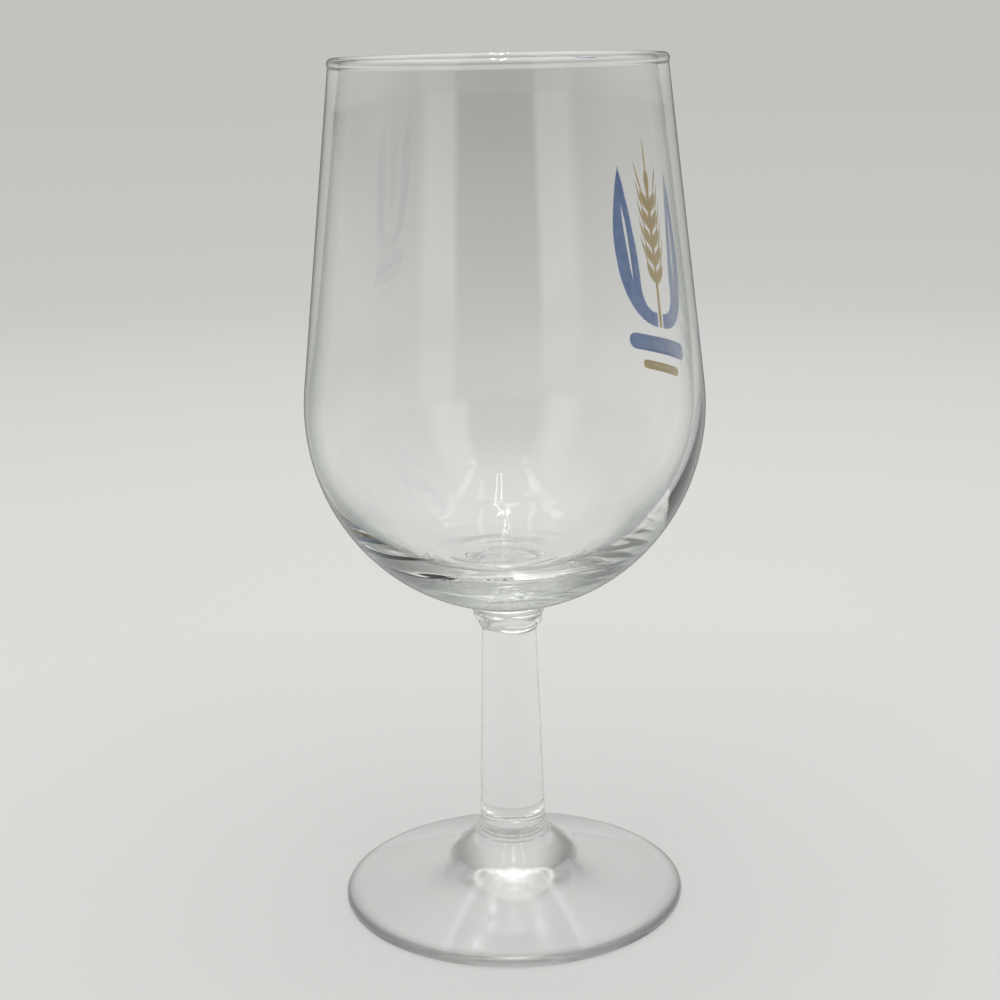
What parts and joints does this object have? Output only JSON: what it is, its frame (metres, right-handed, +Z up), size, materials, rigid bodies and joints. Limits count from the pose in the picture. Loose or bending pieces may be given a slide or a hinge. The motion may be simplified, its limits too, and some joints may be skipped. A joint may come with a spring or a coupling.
{
  "type": "stemmed beer goblet",
  "caption": "Clear stemmed beer goblet with a round-bellied bowl that narrows to the lip, a solid stem, a wide round foot and a small blue and gold enamel barley motif.",
  "frame": {"origin": "on the glass's axis, in the plane that the foot stands on", "axes": "+Z up the axis to the lip, -Y towards the viewer of the picture, +X to the viewer's right"},
  "size_m": [0.082, 0.082, 0.178],
  "materials": {
    "clear_glass": "fire-polished soda-lime glass",
    "blue_enamel": "fired screen-printed enamel",
    "gold_enamel": "fired screen-printed enamel"
  },
  "bodies": {
    "root": {"foot": "clear_glass", "stem": "clear_glass", "bowl": "clear_glass", "gold_barley_ear": "gold_enamel", "gold_bar": "gold_enamel", "blue_leaf_right": "blue_enamel", "blue_leaf_left": "blue_enamel", "blue_bar": "blue_enamel"}
  },
  "joints": []
}
